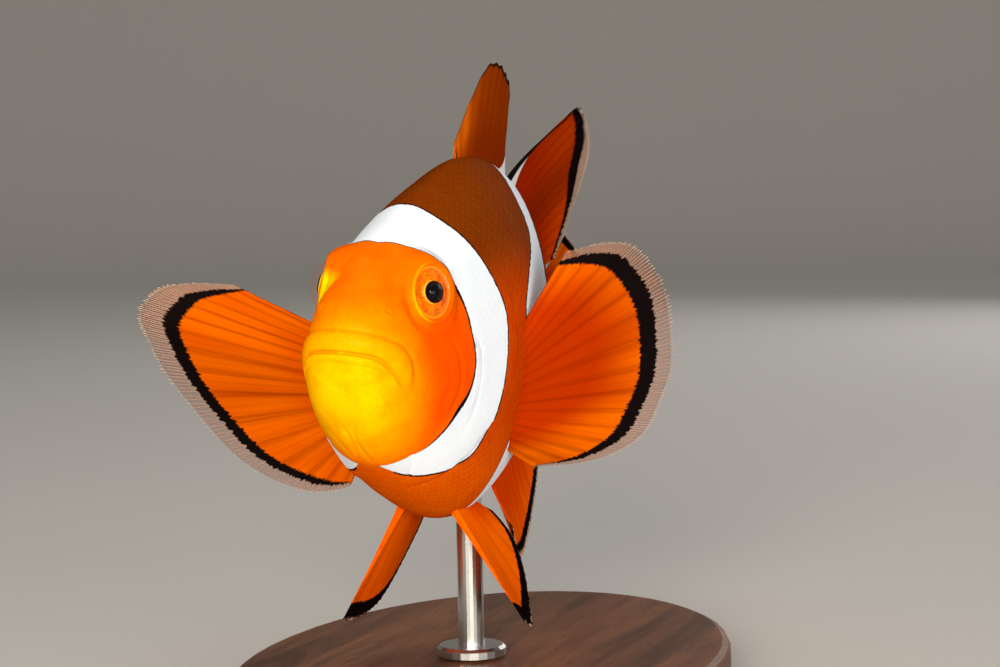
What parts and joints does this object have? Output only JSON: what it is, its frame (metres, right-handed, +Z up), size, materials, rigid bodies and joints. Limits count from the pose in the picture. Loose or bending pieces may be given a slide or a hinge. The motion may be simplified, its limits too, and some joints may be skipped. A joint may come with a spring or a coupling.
{
  "type": "clownfish model",
  "caption": "Life-size still model of a clownfish with spread fins, orange with white bands and black fin edges, on a steel rod and an oval wooden base.",
  "frame": {"origin": "centre of the underside of the oval base, on the surface it stands on", "axes": "+Z up, the fish looks along -Y, and its left side is towards +X"},
  "size_m": [0.0479, 0.0912, 0.0596],
  "materials": {
    "skin_orange": "satin scaled skin, orange, yellow on the snout and brown on the back, with three white bands edged in black",
    "fin_orange": "satin rayed membrane, orange with a black band inside a clear edge",
    "eye": "orange iris and black pupil under a clear glossy cornea",
    "stand_wood": "satin oiled hardwood",
    "stand_steel": "fine brushed"
  },
  "bodies": {
    "root": {"head": "skin_orange", "lower_jaw": "skin_orange", "gill_cover_left": "skin_orange", "gill_cover_right": "skin_orange", "trunk": "skin_orange", "tail_stalk": "skin_orange", "eye_left": "eye", "eye_right": "eye", "dorsal_fin_spiny": "fin_orange", "dorsal_fin_soft": "fin_orange", "anal_fin": "fin_orange", "tail_fin": "fin_orange", "pectoral_fin_left": "fin_orange", "pectoral_fin_right": "fin_orange", "pelvic_fin_left": "fin_orange", "pelvic_fin_right": "fin_orange", "stand_base": "stand_wood", "stand_rod": "stand_steel"}
  },
  "joints": []
}
